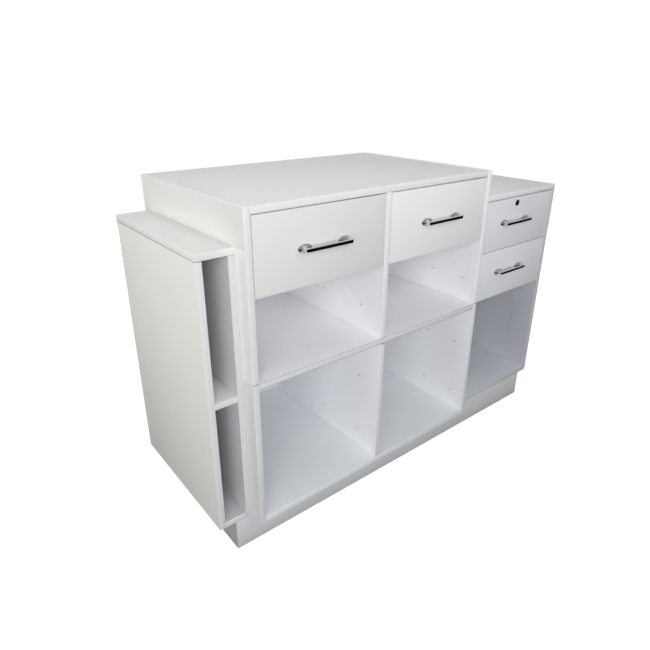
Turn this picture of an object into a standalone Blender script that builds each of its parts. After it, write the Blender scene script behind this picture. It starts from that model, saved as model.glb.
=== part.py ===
"""White modular shop counter, seen from the staff side.

Three units stand in a row on one plinth: a narrow wing with two open slots, a tall main unit
of two stacked boxes with two drawers, and a lower drawer unit with two drawers and a cam lock.
Metres, +Z up, +X to the right along the staff side, -Y towards the staff.
The origin is on the floor, in the middle of the whole counter's plan.
"""
from math import cos, pi, sin

import bmesh
import bpy
from mathutils import Matrix, Vector

# Board stock and the joints between boards
BOARD = 0.018
ARRIS = 0.0008
JOINT_GAP = 0.0003

# The three units and the plinth
WING_WIDTH = 0.102
MAIN_WIDTH = 0.900
DRAWER_UNIT_WIDTH = 0.486
SIDE_UNIT_DEPTH = 0.500
SIDE_UNIT_HEIGHT = 0.800
MAIN_DEPTH = 0.590
MAIN_OVERHANG = 0.050
MAIN_BOX_HEIGHT = 0.450
PLINTH_HEIGHT = 0.100
PLINTH_INSET = 0.050
WING_SHELF_HEIGHT = 0.505

# Holes for shelf pins: set back from the unit's front edge, and above the foot of the box
PIN_HOLE_RADIUS = 0.0025
PIN_HOLE_DEPTH = 0.012
PIN_HOLE_SIDES = 12
MAIN_PIN_HEIGHTS = (0.082, 0.286)
MAIN_SIDE_PIN_SETBACKS = (0.060, 0.189)
MAIN_DIVIDER_PIN_SETBACKS = (0.090, 0.274)
DRAWER_UNIT_PIN_SETBACKS = (0.091, 0.380)
DRAWER_UNIT_FIRST_PIN = 0.157
PIN_PITCH = 0.032
PIN_ROW_COUNT = 5

# Drawers
FRONT_GAP = 0.003
MAIN_FRONT_HEIGHT = 0.200
UNIT_FRONT_HEIGHT = 0.179
WRAP_BOARD = 0.015
DRAWER_BOTTOM = 0.006
DRAWER_LIFT = 0.012
MAIN_WRAP_DROP = 0.032
UNIT_WRAP_DROP = 0.041
MAIN_DRAWER_REAR_SPACE = 0.074
UNIT_DRAWER_REAR_SPACE = 0.044

# Drawer slides: a cabinet runner and a drawer rail, two steel channels facing each other
SLIDE_SPACE = 0.0127
SLIDE_STEEL = 0.0012
SLIDE_HEIGHT = 0.045
SLIDE_PLAY = 0.0004
SLIDE_SIDE_PLAY = 0.0014
SLIDE_FRONT_SETBACK = 0.002
MAIN_SLIDE_REAR_SETBACK = 0.028
UNIT_SLIDE_REAR_SETBACK = 0.018

# Bow handle, the same on every drawer
HANDLE_CENTRES = 0.128
HANDLE_LENGTH = 0.150
HANDLE_PROJECTION = 0.026
HANDLE_BAR_DEPTH = 0.008
HANDLE_BAR_HEIGHT = 0.0095
HANDLE_FOOT_WIDTH = 0.042
HANDLE_FOOT_HEIGHT = 0.022
HANDLE_FOOT_EDGE = 0.0015
HANDLE_BEND = 0.006
HANDLE_CHAMFER = 0.0012
HANDLE_FOOT_CHAMFER = (0.013, 0.007)
HANDLE_FLARE_STEPS = 4
HANDLE_BEND_STEPS = 4
UNIT_HANDLE_RISE = 0.0065

# Cam lock in the upper drawer of the drawer unit
LOCK_DROP = 0.019
LOCK_FLANGE_RADIUS = 0.0115
LOCK_FLANGE_THICKNESS = 0.0025
LOCK_BARREL_RADIUS = 0.0085
LOCK_BARREL_TAIL = 0.004
LOCK_PLUG_RADIUS = 0.0062
LOCK_PLAY = 0.0002
LOCK_KEYWAY = (0.0018, 0.0080, 0.0030)
LOCK_CAM_LENGTH = 0.032
LOCK_CAM_WIDTH = 0.012
LOCK_CAM_THICKNESS = 0.002
LOCK_CAM_CLEARANCE = 0.0015
LOCK_SIDES = 32

# Finishes: colour, roughness, metallic
WHITE_MELAMINE = ((0.80, 0.80, 0.80, 1.0), 0.35, 0.0)
PLINTH_MELAMINE = ((0.62, 0.62, 0.64, 1.0), 0.45, 0.0)
DRAWER_WRAP_WHITE = ((0.74, 0.74, 0.74, 1.0), 0.45, 0.0)
CHROME = ((0.80, 0.81, 0.82, 1.0), 0.08, 1.0)
ZINC_STEEL = ((0.62, 0.63, 0.65, 1.0), 0.35, 1.0)
BLACK_PLUG = ((0.03, 0.03, 0.035, 1.0), 0.30, 0.6)

# Where the units start and end
COUNTER_WIDTH = WING_WIDTH + MAIN_WIDTH + DRAWER_UNIT_WIDTH
WING_LEFT = -COUNTER_WIDTH / 2
MAIN_LEFT = WING_LEFT + WING_WIDTH
MAIN_RIGHT = MAIN_LEFT + MAIN_WIDTH
DRAWER_UNIT_RIGHT = MAIN_RIGHT + DRAWER_UNIT_WIDTH
MAIN_FRONT = HANDLE_PROJECTION - (MAIN_DEPTH + HANDLE_PROJECTION) / 2
MAIN_BACK = MAIN_FRONT + MAIN_DEPTH
SIDE_UNIT_FRONT = MAIN_FRONT + MAIN_OVERHANG
SIDE_UNIT_BACK = SIDE_UNIT_FRONT + SIDE_UNIT_DEPTH
SIDE_UNIT_TOP = PLINTH_HEIGHT + SIDE_UNIT_HEIGHT
LOWER_BOX_TOP = PLINTH_HEIGHT + MAIN_BOX_HEIGHT
MAIN_TOP = LOWER_BOX_TOP + MAIN_BOX_HEIGHT


def clear_scene():
    for old in list(bpy.data.objects):
        bpy.data.objects.remove(old, do_unlink=True)


def finish(name, look):
    """The piece's own material."""
    colour, roughness, metallic = look
    material = bpy.data.materials.new(name)
    material.use_nodes = True
    shader = material.node_tree.nodes["Principled BSDF"]
    shader.inputs["Base Color"].default_value = colour
    shader.inputs["Roughness"].default_value = roughness
    shader.inputs["Metallic"].default_value = metallic
    return material


def piece(name, bm, centre, look, parent=None):
    """An object whose mesh is around its own origin, placed at a world point."""
    bmesh.ops.recalc_face_normals(bm, faces=bm.faces)
    mesh = bpy.data.meshes.new(name)
    bm.to_mesh(mesh)
    bm.free()
    obj = bpy.data.objects.new(name, mesh)
    bpy.context.scene.collection.objects.link(obj)
    obj.location = Vector(centre)
    if parent:
        obj.parent = parent
        obj.location -= parent.location
    if look:
        mesh.materials.append(finish(name, look))
    return obj


def pivot(name, point):
    """An empty that carries the pieces of one moving body."""
    empty = bpy.data.objects.new(name, None)
    bpy.context.scene.collection.objects.link(empty)
    empty.location = Vector(point)
    return empty


def middle(span):
    return (span[0] + span[1]) / 2


def inset(span, amount):
    return (span[0] + amount, span[1] - amount)


def box_mesh(x, y, z):
    """A box of the spans' sizes around its own centre."""
    bm = bmesh.new()
    size = (x[1] - x[0], y[1] - y[0], z[1] - z[0])
    bmesh.ops.create_cube(bm, size=1.0, matrix=Matrix.Diagonal((*size, 1.0)))
    return bm


def ease_edges(obj):
    bevel = obj.modifiers.new("arris", "BEVEL")
    bevel.width = ARRIS
    bevel.segments = 1


def board(name, x, y, z, look=WHITE_MELAMINE, parent=None):
    """A board with eased edges that fills the spans x, y and z."""
    obj = piece(name, box_mesh(x, y, z), (middle(x), middle(y), middle(z)), look, parent)
    ease_edges(obj)
    return obj


def cut(obj, cutter):
    """Takes the cutter's shape out of the object."""
    cutter.hide_render = True
    cutter.display_type = "WIRE"
    boolean = obj.modifiers.new(cutter.name, "BOOLEAN")
    boolean.operation = "DIFFERENCE"
    boolean.solver = "EXACT"
    boolean.object = cutter


def drill(obj, x, places):
    """Holes along X over the span x, at the (y, z) places."""
    bm = bmesh.new()
    for y, z in places:
        turn = Matrix.Translation((middle(x), y, z)) @ Matrix.Rotation(pi / 2, 4, "Y")
        bmesh.ops.create_cone(bm, cap_ends=True, segments=PIN_HOLE_SIDES, radius1=PIN_HOLE_RADIUS,
                              radius2=PIN_HOLE_RADIUS, depth=x[1] - x[0], matrix=turn)
    cut(obj, piece(obj.name + "_drill", bm, (0, 0, 0), None))


def drill_blind(obj, face, inward, places):
    """Blind holes from the face at x = face, going inward (+1 or -1) along X."""
    ends = sorted((face - inward * PIN_HOLE_DEPTH, face + inward * PIN_HOLE_DEPTH))
    drill(obj, ends, places)


def pin_places(front, foot, setbacks, heights):
    return [(front + setback, foot + height) for setback in setbacks for height in heights]


def prism(outline, axis, length):
    """A closed outline in the plane square to the axis, drawn out along it, centred on zero."""
    bm = bmesh.new()
    along = Vector(axis)
    face = bm.faces.new([bm.verts.new(Vector(point) - along * length / 2) for point in outline])
    drawn = bmesh.ops.extrude_face_region(bm, geom=[face])
    moved = [item for item in drawn["geom"] if isinstance(item, bmesh.types.BMVert)]
    bmesh.ops.translate(bm, verts=moved, vec=along * length)
    return bm


def make_plinth():
    x = (WING_LEFT + PLINTH_INSET, DRAWER_UNIT_RIGHT - PLINTH_INSET)
    y = (SIDE_UNIT_FRONT, SIDE_UNIT_BACK)
    z = (0.0, PLINTH_HEIGHT - JOINT_GAP)
    between = inset(y, BOARD + JOINT_GAP)
    board("plinth_front", x, (y[0], y[0] + BOARD), z, PLINTH_MELAMINE)
    board("plinth_back", x, (y[1] - BOARD, y[1]), z, PLINTH_MELAMINE)
    board("plinth_left_end", (x[0], x[0] + BOARD), between, z, PLINTH_MELAMINE)
    board("plinth_right_end", (x[1] - BOARD, x[1]), between, z, PLINTH_MELAMINE)


def make_main_box(box, foot, top, has_bottom):
    """One of the two stacked boxes. The lower one has a bottom, and its top is the mid rail."""
    y = (MAIN_FRONT, MAIN_BACK)
    foot_gap = 0.0 if has_bottom else JOINT_GAP
    z = (foot + foot_gap, top)
    left_face = MAIN_LEFT + BOARD
    right_face = MAIN_RIGHT - BOARD
    across = inset((left_face, right_face), JOINT_GAP)
    left = board(box + "_left_side", (MAIN_LEFT, left_face), y, z)
    right = board(box + "_right_side", (right_face, MAIN_RIGHT), y, z)
    board(box + "_top", across, y, (top - BOARD, top))
    floor = foot
    if has_bottom:
        board(box + "_bottom", across, y, (foot, foot + BOARD))
        floor = foot + BOARD
    inside = inset((floor, top - BOARD), JOINT_GAP)
    centre = (MAIN_LEFT + MAIN_RIGHT) / 2
    divider_x = (centre - BOARD / 2, centre + BOARD / 2)
    divider_y = (MAIN_FRONT, MAIN_BACK - BOARD - JOINT_GAP)
    divider = board(box + "_divider", divider_x, divider_y, inside)
    board(box + "_back", across, (MAIN_BACK - BOARD, MAIN_BACK), inside)

    side_pins = pin_places(MAIN_FRONT, foot, MAIN_SIDE_PIN_SETBACKS, MAIN_PIN_HEIGHTS)
    drill_blind(left, left_face, -1, side_pins)
    drill_blind(right, right_face, 1, side_pins)
    divider_pins = pin_places(MAIN_FRONT, foot, MAIN_DIVIDER_PIN_SETBACKS, MAIN_PIN_HEIGHTS)
    drill(divider, inset(divider_x, -BOARD / 2), divider_pins)


def make_side_unit(unit, x):
    """The carcass that the wing and the drawer unit share: a slab on two sides, bottom and back."""
    y = (SIDE_UNIT_FRONT, SIDE_UNIT_BACK)
    z = (PLINTH_HEIGHT, SIDE_UNIT_TOP - BOARD - JOINT_GAP)
    across = inset(x, BOARD + JOINT_GAP)
    depth = (y[0], y[1] - BOARD - JOINT_GAP)
    sides = (board(unit + "_left_side", (x[0], x[0] + BOARD), y, z),
             board(unit + "_right_side", (x[1] - BOARD, x[1]), y, z))
    board(unit + "_bottom", across, depth, (PLINTH_HEIGHT, PLINTH_HEIGHT + BOARD))
    board(unit + "_back", across, (y[1] - BOARD, y[1]), z)
    top = board(unit + "_top", x, y, (SIDE_UNIT_TOP - BOARD, SIDE_UNIT_TOP))
    return top, sides


def make_wing():
    x = (WING_LEFT, MAIN_LEFT - JOINT_GAP)
    make_side_unit("wing", x)
    board("wing_shelf", inset(x, BOARD + JOINT_GAP),
          (SIDE_UNIT_FRONT, SIDE_UNIT_BACK - BOARD - JOINT_GAP),
          (WING_SHELF_HEIGHT - BOARD, WING_SHELF_HEIGHT))


def make_drawer_unit():
    x = (MAIN_RIGHT + JOINT_GAP, DRAWER_UNIT_RIGHT)
    top, (left, right) = make_side_unit("drawer_unit", x)
    heights = [DRAWER_UNIT_FIRST_PIN + step * PIN_PITCH for step in range(PIN_ROW_COUNT)]
    pins = pin_places(SIDE_UNIT_FRONT, PLINTH_HEIGHT, DRAWER_UNIT_PIN_SETBACKS, heights)
    drill_blind(left, x[0] + BOARD, -1, pins)
    drill_blind(right, x[1] - BOARD, 1, pins)
    return top


def handle_stations():
    """Centre, direction, half width, half height and corner cuts along the left half, foot to bar."""
    foot = -HANDLE_CENTRES / 2
    arm = -(HANDLE_LENGTH - HANDLE_BAR_DEPTH) / 2
    bar = -(HANDLE_PROJECTION - HANDLE_BAR_DEPTH / 2)
    bend_start = bar + HANDLE_BEND
    seat = -JOINT_GAP
    rim = seat - HANDLE_FOOT_EDGE
    cut_x, cut_z = HANDLE_FOOT_CHAMFER
    wide = (foot, HANDLE_FOOT_WIDTH / 2, HANDLE_FOOT_HEIGHT / 2, cut_x, cut_z)
    slim = (arm, HANDLE_BAR_DEPTH / 2, HANDLE_BAR_HEIGHT / 2, HANDLE_CHAMFER, HANDLE_CHAMFER)
    stations = [((foot, seat), -pi / 2, *wide[1:])]
    for step in range(HANDLE_FLARE_STEPS + 1):
        t = step / HANDLE_FLARE_STEPS
        share = 1 - (1 - t) ** 2
        x, *section = [a + (b - a) * share for a, b in zip(wide, slim)]
        stations.append(((x, rim + (bend_start - rim) * t), -pi / 2, *section))
    for step in range(1, HANDLE_BEND_STEPS + 1):
        turn = pi / 2 * step / HANDLE_BEND_STEPS
        centre = (arm + HANDLE_BEND * (1 - cos(turn)), bend_start - HANDLE_BEND * sin(turn))
        stations.append((centre, turn - pi / 2, *slim[1:]))
    return stations


def handle_section(bm, station, side):
    """One rectangle with cut corners across the bow. The right half mirrors the left one."""
    (x, y), direction, width, height, cut_x, cut_z = station
    across = Vector((-sin(direction), cos(direction), 0.0))
    corners = ((width - cut_x, -height), (width, cut_z - height), (width, height - cut_z), (width - cut_x, height),
               (cut_x - width, height), (-width, height - cut_z), (-width, cut_z - height), (cut_x - width, -height))
    ring = []
    for out, up in corners:
        point = Vector((x, y, up)) + across * out
        ring.append(bm.verts.new((side * point.x, point.y, point.z)))
    return ring


def handle_mesh():
    """A chrome bow: two flared feet and a flat bar, swept along one path."""
    bm = bmesh.new()
    left = handle_stations()
    rings = [handle_section(bm, station, 1) for station in left]
    rings += [handle_section(bm, station, -1) for station in reversed(left)]
    for a, b in zip(rings, rings[1:]):
        for i, j in zip(range(len(a)), [*range(1, len(a)), 0]):
            bm.faces.new((a[i], a[j], b[j], b[i]))
    bmesh.ops.triangulate(bm, faces=bm.faces[:])
    bm.faces.new(rings[0])
    bm.faces.new(rings[-1])
    return bm


def channel_mesh(height, flange, length):
    """A steel channel along Y with its web at x = 0 and its flanges towards +X."""
    t = SLIDE_STEEL
    h = height / 2
    outline = ((0, -h), (flange, -h), (flange, t - h), (t, t - h),
               (t, h - t), (flange, h - t), (flange, h), (0, h))
    return prism([(x, 0, z) for x, z in outline], (0, 1, 0), length)


def make_slides(drawer, carrier, x, y, height):
    """A runner on each cabinet side and a rail on each side of the drawer, running inside it."""
    length = y[1] - y[0]
    rail_height = SLIDE_HEIGHT - 2 * (SLIDE_STEEL + SLIDE_PLAY)
    flange = SLIDE_SPACE - 2 * JOINT_GAP - SLIDE_STEEL - SLIDE_SIDE_PLAY
    for side, wall, inward in (("left", x[0], 1), ("right", x[1], -1)):
        runner = channel_mesh(SLIDE_HEIGHT, flange, length)
        rail = channel_mesh(rail_height, flange, length)
        bmesh.ops.scale(runner, vec=(inward, 1, 1), verts=runner.verts)
        bmesh.ops.scale(rail, vec=(-inward, 1, 1), verts=rail.verts)
        runner_web = wall + inward * JOINT_GAP
        rail_web = wall + inward * (SLIDE_SPACE - JOINT_GAP)
        piece(f"{drawer}_{side}_runner", runner, (runner_web, middle(y), height), ZINC_STEEL)
        piece(f"{drawer}_{side}_rail", rail, (rail_web, middle(y), height), ZINC_STEEL, carrier)


def make_drawer(drawer, opening, front, rear, front_z, wrap_drop, slide_setback, handle_rise=0.0):
    """A drawer with an inset front, closed. The opening is the span between the cabinet sides."""
    carrier = pivot(drawer, (middle(opening), front, middle(front_z)))
    back_of_front = front + BOARD
    front_board = board(drawer + "_front", inset(opening, FRONT_GAP), (front, back_of_front), front_z,
                        parent=carrier)
    x = inset(opening, SLIDE_SPACE)
    y = (back_of_front + JOINT_GAP, rear)
    foot = front_z[0] + DRAWER_LIFT
    board(drawer + "_bottom", x, y, (foot, foot + DRAWER_BOTTOM), DRAWER_WRAP_WHITE, carrier)
    wrap_z = (foot + DRAWER_BOTTOM + JOINT_GAP, front_z[1] - wrap_drop)
    half = (x[1] - x[0]) / 2
    inner = half - WRAP_BOARD
    long = (y[1] - y[0]) / 2
    outline = ((-half, -long), (-inner, -long), (-inner, long - WRAP_BOARD), (inner, long - WRAP_BOARD),
               (inner, -long), (half, -long), (half, long), (-half, long))
    wrap = prism([(px, py, 0) for px, py in outline], (0, 0, 1), wrap_z[1] - wrap_z[0])
    wrap_centre = (middle(x), middle(y), middle(wrap_z))
    ease_edges(piece(drawer + "_wrap", wrap, wrap_centre, DRAWER_WRAP_WHITE, carrier))
    handle_place = (middle(opening), front, middle(front_z) + handle_rise)
    piece(drawer + "_handle", handle_mesh(), handle_place, CHROME, carrier)
    slide_y = (back_of_front + SLIDE_FRONT_SETBACK, rear - slide_setback)
    make_slides(drawer, carrier, opening, slide_y, middle(wrap_z))
    return carrier, front_board


def make_main_drawers():
    centre = (MAIN_LEFT + MAIN_RIGHT) / 2
    top = MAIN_TOP - BOARD - FRONT_GAP
    front_z = (top - MAIN_FRONT_HEIGHT, top)
    rear = MAIN_BACK - BOARD - MAIN_DRAWER_REAR_SPACE
    openings = (("main_left_drawer", (MAIN_LEFT + BOARD, centre - BOARD / 2)),
                ("main_right_drawer", (centre + BOARD / 2, MAIN_RIGHT - BOARD)))
    for drawer, opening in openings:
        make_drawer(drawer, opening, MAIN_FRONT, rear, front_z, MAIN_WRAP_DROP, MAIN_SLIDE_REAR_SETBACK)


def make_unit_drawers(slab):
    opening = (MAIN_RIGHT + JOINT_GAP + BOARD, DRAWER_UNIT_RIGHT - BOARD)
    top = SIDE_UNIT_TOP - BOARD - FRONT_GAP
    rear = SIDE_UNIT_BACK - BOARD - UNIT_DRAWER_REAR_SPACE
    for drawer in ("upper_drawer", "lower_drawer"):
        front_z = (top - UNIT_FRONT_HEIGHT, top)
        carrier, front_board = make_drawer(drawer, opening, SIDE_UNIT_FRONT, rear, front_z,
                                           UNIT_WRAP_DROP, UNIT_SLIDE_REAR_SETBACK, UNIT_HANDLE_RISE)
        if drawer == "upper_drawer":
            make_lock(carrier, front_board, slab, (middle(opening), SIDE_UNIT_FRONT, top - LOCK_DROP))
        top = front_z[0] - FRONT_GAP


def turned(profile):
    """A solid turned about Y from (y, radius) points, from the front of the axis to its back."""
    bm = bmesh.new()
    rings = []
    for y, radius in profile:
        turns = [2 * pi * step / LOCK_SIDES for step in range(LOCK_SIDES)]
        rings.append([bm.verts.new((radius * cos(a), y, radius * sin(a))) for a in turns])
    for a, b in zip(rings, rings[1:]):
        for i, j in zip(range(LOCK_SIDES), [*range(1, LOCK_SIDES), 0]):
            bm.faces.new((a[i], a[j], b[j], b[i]))
    return bm, rings


def make_lock(carrier, front_board, slab, axis_point):
    """Housing through the drawer front, plug and cam that turn in it, slot for the cam in the slab."""
    x, front, z = axis_point
    flange_front = -JOINT_GAP - LOCK_FLANGE_THICKNESS
    tail = BOARD + LOCK_BARREL_TAIL
    bore = LOCK_PLUG_RADIUS + LOCK_PLAY
    hole_radius = LOCK_BARREL_RADIUS + JOINT_GAP
    hole, rings = turned(((-BOARD, hole_radius), (2 * BOARD, hole_radius)))
    hole.faces.new(rings[0])
    hole.faces.new(rings[-1])
    cut(front_board, piece("lock_hole", hole, axis_point, None, carrier))

    housing, _ = turned(((flange_front, bore), (flange_front, LOCK_FLANGE_RADIUS),
                         (-JOINT_GAP, LOCK_FLANGE_RADIUS), (-JOINT_GAP, LOCK_BARREL_RADIUS),
                         (tail, LOCK_BARREL_RADIUS), (tail, bore)))
    bmesh.ops.bridge_loops(housing, edges=[edge for edge in housing.edges if len(edge.link_faces) == 1])
    piece("lock_housing", housing, axis_point, CHROME, carrier)

    cam_front = tail + LOCK_PLAY
    cam_back = cam_front + LOCK_CAM_THICKNESS
    plug_back = cam_front + LOCK_CAM_THICKNESS / 2
    plug, rings = turned(((flange_front, LOCK_PLUG_RADIUS), (plug_back, LOCK_PLUG_RADIUS)))
    plug.faces.new(rings[0])
    plug.faces.new(rings[-1])
    plug_piece = piece("lock_plug", plug, axis_point, BLACK_PLUG, carrier)
    cam_x = (-LOCK_CAM_WIDTH / 2, LOCK_CAM_LENGTH)
    cam = box_mesh(cam_x, (cam_front, cam_back), (-LOCK_CAM_WIDTH / 2, LOCK_CAM_WIDTH / 2))
    cam_centre = (x + middle(cam_x), front + (cam_front + cam_back) / 2, z)
    cam_piece = piece("lock_cam_blank", cam, cam_centre, None, carrier)
    cam_piece.hide_render = True
    cam_piece.display_type = "WIRE"
    join = plug_piece.modifiers.new("cam", "BOOLEAN")
    join.operation = "UNION"
    join.object = cam_piece
    width, height, depth = LOCK_KEYWAY
    keyway = box_mesh((0, width), (0, 2 * depth), (0, height))
    cut(plug_piece, piece("lock_keyway", keyway, (x, front + flange_front, z), None, carrier))

    reach = (LOCK_CAM_LENGTH ** 2 + (LOCK_CAM_WIDTH / 2) ** 2) ** 0.5
    slab_foot = SIDE_UNIT_TOP - BOARD
    swing = (reach ** 2 - (slab_foot - z) ** 2) ** 0.5
    slot_x = (x - LOCK_CAM_WIDTH / 2 - LOCK_CAM_CLEARANCE, x + swing + LOCK_CAM_CLEARANCE)
    slot_y = inset((front + cam_front, front + cam_back), -LOCK_CAM_CLEARANCE)
    slot_top = z + reach + LOCK_CAM_CLEARANCE
    slot_z = (2 * slab_foot - slot_top, slot_top)
    slot = box_mesh(slot_x, slot_y, slot_z)
    cut(slab, piece("lock_slot", slot, (middle(slot_x), middle(slot_y), middle(slot_z)), None))


clear_scene()
make_plinth()
make_main_box("main_lower", PLINTH_HEIGHT, LOWER_BOX_TOP, has_bottom=True)
make_main_box("main_upper", LOWER_BOX_TOP, MAIN_TOP, has_bottom=False)
make_wing()
make_main_drawers()
make_unit_drawers(make_drawer_unit())
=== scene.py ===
"""The looks of a white modular shop counter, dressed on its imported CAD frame.

Three units of white melamine-faced board stand in a row on one plinth: a narrow wing with open
slots, a tall main unit with drawers over open compartments, and a lower drawer unit with a lock.
Metres, +X to the right along the staff side, -Y towards the staff, +Z up.
"""
from math import cos, pi, radians, sin

import bpy
from mathutils import Matrix, Vector


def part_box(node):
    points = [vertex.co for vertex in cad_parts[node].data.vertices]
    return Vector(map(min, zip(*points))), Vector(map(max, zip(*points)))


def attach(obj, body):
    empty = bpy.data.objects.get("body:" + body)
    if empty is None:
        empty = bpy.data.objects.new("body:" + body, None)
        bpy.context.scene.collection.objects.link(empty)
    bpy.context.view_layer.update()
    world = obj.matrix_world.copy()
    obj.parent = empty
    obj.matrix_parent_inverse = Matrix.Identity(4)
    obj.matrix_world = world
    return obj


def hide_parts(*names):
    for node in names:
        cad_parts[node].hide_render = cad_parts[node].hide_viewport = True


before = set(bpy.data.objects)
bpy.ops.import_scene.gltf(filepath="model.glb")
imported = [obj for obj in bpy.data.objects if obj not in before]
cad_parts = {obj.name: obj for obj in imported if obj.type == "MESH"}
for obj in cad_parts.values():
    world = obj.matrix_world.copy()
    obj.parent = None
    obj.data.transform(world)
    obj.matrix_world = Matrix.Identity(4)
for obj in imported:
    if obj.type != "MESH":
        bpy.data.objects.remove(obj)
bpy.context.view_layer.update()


# Plinth: four boards on edge under all three units, set in at both ends of the counter.
# Melamine-faced chipboard, 18 mm thick, butt-jointed and screwed up into the units. The facings are drawn
# pale grey, painted shade under the units, and the lipping and end boards darker still, painted shadow.
EASED_EDGE = 0.0009
EDGE_STEPS = 3
FLAT_ENOUGH = 0.99
SMOOTH_BELOW = radians(40)
NOISE_SPAN = (0.3, 0.7)
CLOUD_SIZE = 0.30
WIPED_SIZE = 0.045
PEARL_SIZE = 0.0022
PEARL_DEPTH = 0.0003
BOARD_PEARL = 0.10
PLINTH_LIPPING_PEARL = 0.04
SATIN = (0.38, 0.48)
SOFT_GLOSS = (0.34, 0.42)
MELAMINE_IOR = 1.5
SCUFF_HEIGHT = 0.035
SCUFF_SIZE = 0.012
SCUFF_COVER = 0.75


def linear(hex_colour):
    """The linear RGBA value of an sRGB hex colour."""
    channels = [int(hex_colour[place:place + 2], 16) / 255 for place in (0, 2, 4)]
    bent = [c / 12.92 if c <= 0.04045 else ((c + 0.055) / 1.055) ** 2.4 for c in channels]
    return (*bent, 1.0)


def add(material, kind, inputs=None, **settings):
    """Adds a node to a material. A socket among its inputs is linked, any other value is set."""
    tree = material.node_tree
    made = tree.nodes.new(kind)
    for name, value in settings.items():
        setattr(made, name, value)
    for name, value in (inputs or {}).items():
        if isinstance(value, bpy.types.NodeSocket):
            tree.links.new(value, made.inputs[name])
        else:
            made.inputs[name].default_value = value
    return made


def blank_material(name):
    """A new material whose nodes are still to be added."""
    material = bpy.data.materials.new(name)
    material.use_nodes = True
    material.node_tree.nodes.clear()
    return material


def faced_board(name, shades, sheen, pearl, scuffs=None):
    """Decor paper pressed in melamine resin: hard and satin, with a fine pearl emboss.

    The sheet clouds a little between its two shades, and in gloss where it has been wiped. The
    pearl grain is about 0.5 mm on the real board and is drawn at 2.2 mm, so that it shows in a
    close view. Scuffs are the colour of the marks that shoes and mops leave near the floor.
    """
    material = blank_material(name)
    place = add(material, "ShaderNodeTexCoord").outputs["Object"]
    clouds = add(material, "ShaderNodeTexNoise",
                 {"Vector": place, "Scale": 1 / CLOUD_SIZE, "Detail": 4.0, "Roughness": 0.6})
    tint = add(material, "ShaderNodeValToRGB", {"Fac": clouds.outputs["Fac"]})
    for element, position, shade in zip(tint.color_ramp.elements, NOISE_SPAN, shades):
        element.position = position
        element.color = linear(shade)
    colour = tint.outputs["Color"]
    wiped = add(material, "ShaderNodeTexNoise",
                {"Vector": place, "Scale": 1 / WIPED_SIZE, "Detail": 5.0, "Roughness": 0.55})
    gloss = add(material, "ShaderNodeMapRange",
                {"Value": wiped.outputs["Fac"], "From Min": NOISE_SPAN[0], "From Max": NOISE_SPAN[1],
                 "To Min": sheen[0], "To Max": sheen[1]})
    if scuffs:
        height = add(material, "ShaderNodeSeparateXYZ", {"Vector": place}).outputs["Z"]
        low = add(material, "ShaderNodeMapRange",
                  {"Value": height, "From Min": 0.0, "From Max": SCUFF_HEIGHT,
                   "To Min": SCUFF_COVER, "To Max": 0.0})
        kicks = add(material, "ShaderNodeTexNoise",
                    {"Vector": place, "Scale": 1 / SCUFF_SIZE, "Detail": 6.0, "Roughness": 0.7})
        worn = add(material, "ShaderNodeMath", {0: low.outputs["Result"], 1: kicks.outputs["Fac"]},
                   operation="MULTIPLY")
        marked = add(material, "ShaderNodeMix",
                     {0: worn.outputs["Value"], 6: colour, 7: linear(scuffs)}, data_type="RGBA")
        colour = marked.outputs[2]
    grain = add(material, "ShaderNodeTexNoise",
                {"Vector": place, "Scale": 1 / PEARL_SIZE, "Detail": 2.0, "Roughness": 0.5})
    emboss = add(material, "ShaderNodeBump",
                 {"Height": grain.outputs["Fac"], "Strength": pearl, "Distance": PEARL_DEPTH})
    shader = add(material, "ShaderNodeBsdfPrincipled",
                 {"Base Color": colour, "Roughness": gloss.outputs["Result"],
                  "Normal": emboss.outputs["Normal"], "IOR": MELAMINE_IOR})
    add(material, "ShaderNodeOutputMaterial", {"Surface": shader.outputs["BSDF"]})
    return material


def pick(made):
    """Selects one piece alone and makes it the active one."""
    bpy.ops.object.select_all(action="DESELECT")
    made.select_set(True)
    bpy.context.view_layer.objects.active = made


def block(low, high):
    """A plain block between two corners, to be shaped further. Its place is in its mesh."""
    bpy.ops.object.select_all(action="DESELECT")
    bpy.ops.mesh.primitive_cube_add(size=1.0, location=(low + high) / 2)
    made = bpy.context.object
    made.scale = high - low
    bpy.ops.object.transform_apply(location=True, rotation=True, scale=True)
    return made


def round_edges(radius, steps):
    """Rounds every edge of the active piece."""
    bpy.ops.object.mode_set(mode="EDIT")
    bpy.ops.mesh.select_all(action="SELECT")
    bpy.ops.mesh.bevel(offset=radius, segments=steps, affect="EDGES")
    bpy.ops.object.mode_set(mode="OBJECT")


def looks_to(polygon, way):
    """Whether a flat face looks some way."""
    return polygon.normal.dot(Vector(way)) > FLAT_ENOUGH


def coat(made, material):
    """The slot of a material on a piece. It is added once, as boring mixes up doubled slots."""
    if material.name not in made.data.materials:
        made.data.materials.append(material)
    return made.data.materials.find(material.name)


def cut_board(node, face, band, linings=()):
    """A board in a CAD node's place: a block with rounded arrises, its narrow edges lipped with band.

    Linings are pairs of a direction and the facing of the side that looks that way.
    """
    low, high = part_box(node)
    made = block(low, high)
    round_edges(EASED_EDGE, EDGE_STEPS)
    size = high - low
    thickness = min(range(3), key=lambda axis: size[axis])
    for polygon in made.data.polygons:
        facing = face if abs(polygon.normal[thickness]) > FLAT_ENOUGH else band
        for way, lining in linings:
            if looks_to(polygon, way):
                facing = lining
        polygon.material_index = coat(made, facing)
    return made


def settle(made, name, body, slot, *nodes):
    """Names a finished piece, shades it and puts it on its body in place of its CAD nodes."""
    pick(made)
    bpy.ops.object.shade_smooth_by_angle(angle=SMOOTH_BELOW)
    made.name = name
    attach(made, body)
    if nodes:
        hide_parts(*nodes)


# Painted shade: the plinth's greys stand in for the shade under the units, darker at the ends and on the
# lipping.
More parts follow.
